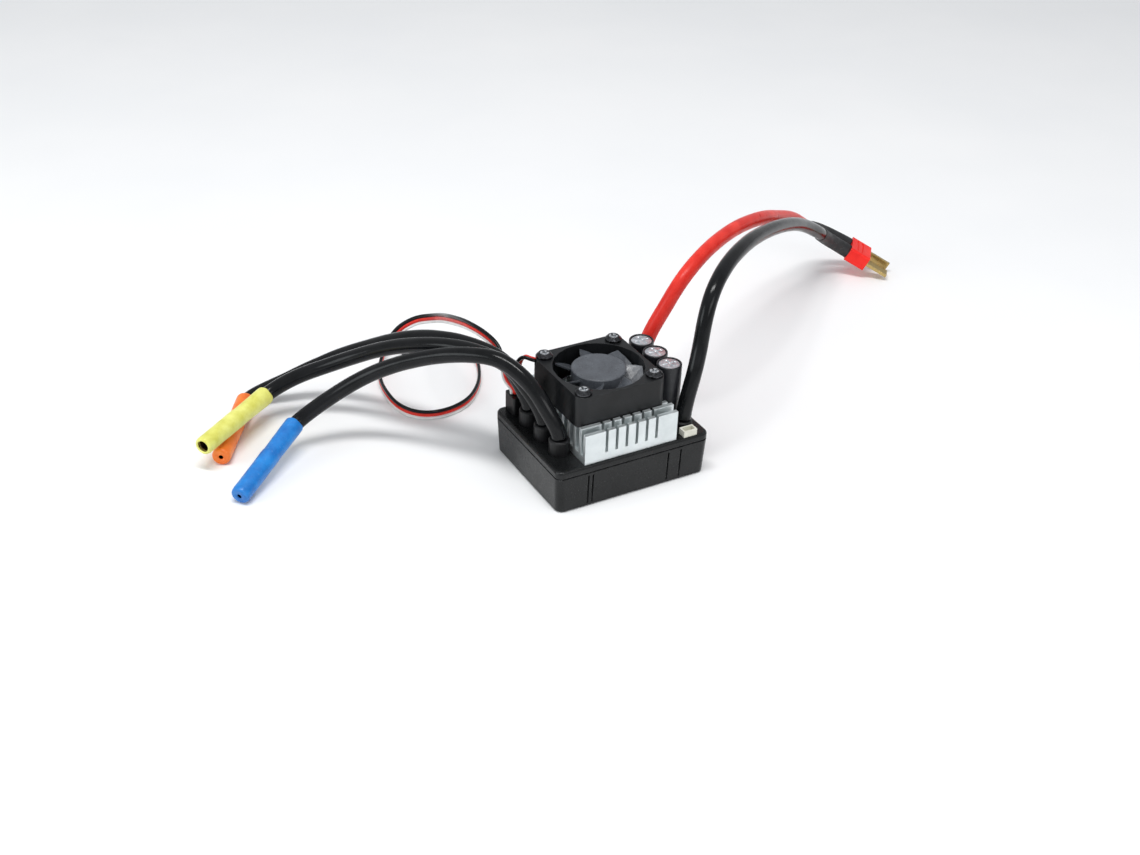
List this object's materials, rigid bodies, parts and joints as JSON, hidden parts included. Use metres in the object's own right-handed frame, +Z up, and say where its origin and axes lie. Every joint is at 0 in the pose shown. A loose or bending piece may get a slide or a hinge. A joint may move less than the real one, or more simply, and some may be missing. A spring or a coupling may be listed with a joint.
{
  "type": "electronic speed controller",
  "caption": "Boxed brushless motor speed controller with a finned heat sink and cooling fan on its lid, upright capacitors, motor leads with bullet sockets, and battery leads with a plug.",
  "frame": {"origin": "centre of the case underside", "axes": "+X along the long side of the case towards the battery leads, -X towards the motor leads, +Z up through the fan, +Y towards the receiver lead"},
  "size_m": [0.2803, 0.1118, 0.0599],
  "materials": {
    "case_plastic": "fine satin moulding",
    "fan_plastic": "satin moulding",
    "rotor_plastic": "satin moulding",
    "sink_aluminium": "satin anodised, sawn edges",
    "board": "solder mask",
    "chip": "moulded",
    "thermal_pad": "soft",
    "steel": "ground",
    "copper": "enamelled winding",
    "brass": "bright",
    "black_steel": "black oxide",
    "black_silicone": "glossy silicone",
    "red_silicone": "glossy silicone",
    "blue_sleeve": "heat-shrink",
    "orange_sleeve": "heat-shrink",
    "yellow_sleeve": "heat-shrink",
    "red_nylon": "moulded",
    "can_aluminium": "bright",
    "can_sleeve": "shrink film",
    "seal_rubber": "matte",
    "cream_nylon": "moulded"
  },
  "bodies": {
    "housing": {"base_shell": "case_plastic", "lid": "case_plastic", "motor_gland_1": "case_plastic", "motor_gland_2": "case_plastic", "motor_gland_3": "case_plastic", "receiver_gland": "case_plastic", "case_seal": "seal_rubber", "heat_sink": "sink_aluminium", "thermal_pad": "thermal_pad", "power_board": "board", "control_board": "board", "fan_circuit": "board", "board_link": "chip", "microcontroller": "chip", "bec_regulator": "chip", "mosfet_1": "chip", "mosfet_2": "chip", "mosfet_3": "chip", "mosfet_4": "chip", "mosfet_5": "chip", "mosfet_6": "chip", "fan_frame": "fan_plastic", "fan_bearing": "brass", "plug_blade_negative": "brass", "plug_blade_positive": "brass", "bullet_socket_1": "brass", "bullet_socket_2": "brass", "bullet_socket_3": "brass", "fan_stator": "copper", "fan_screw_1": "black_steel", "fan_screw_2": "black_steel", "fan_screw_3": "black_steel", "fan_screw_4": "black_steel", "fan_lead_red": "red_silicone", "battery_wire_positive": "red_silicone", "fan_lead_black": "black_silicone", "battery_wire_negative": "black_silicone", "battery_gland_negative": "black_silicone", "battery_gland_positive": "black_silicone", "plug_shrink_negative": "black_silicone", "plug_shrink_positive": "black_silicone", "receiver_lead": "black_silicone", "receiver_plug": "black_silicone", "motor_wire_1": "black_silicone", "motor_wire_2": "black_silicone", "motor_wire_3": "black_silicone", "capacitor_can_1": "can_aluminium", "capacitor_can_2": "can_aluminium", "capacitor_can_3": "can_aluminium", "capacitor_sleeve_1": "can_sleeve", "capacitor_sleeve_2": "can_sleeve", "capacitor_sleeve_3": "can_sleeve", "sleeve_blue": "blue_sleeve", "sleeve_orange": "orange_sleeve", "sleeve_yellow": "yellow_sleeve", "battery_plug": "red_nylon", "port_socket": "cream_nylon"},
    "rotor": {"fan_rotor": "rotor_plastic", "rotor_magnet": "chip", "fan_shaft": "steel"}
  },
  "joints": [
    {"name": "fan_spin", "type": "hinge", "parent": "housing", "child": "rotor", "pos_m": [-0.0021, -0.0006, 0.03], "axis": [0, 0, 1], "continuous": true}
  ]
}
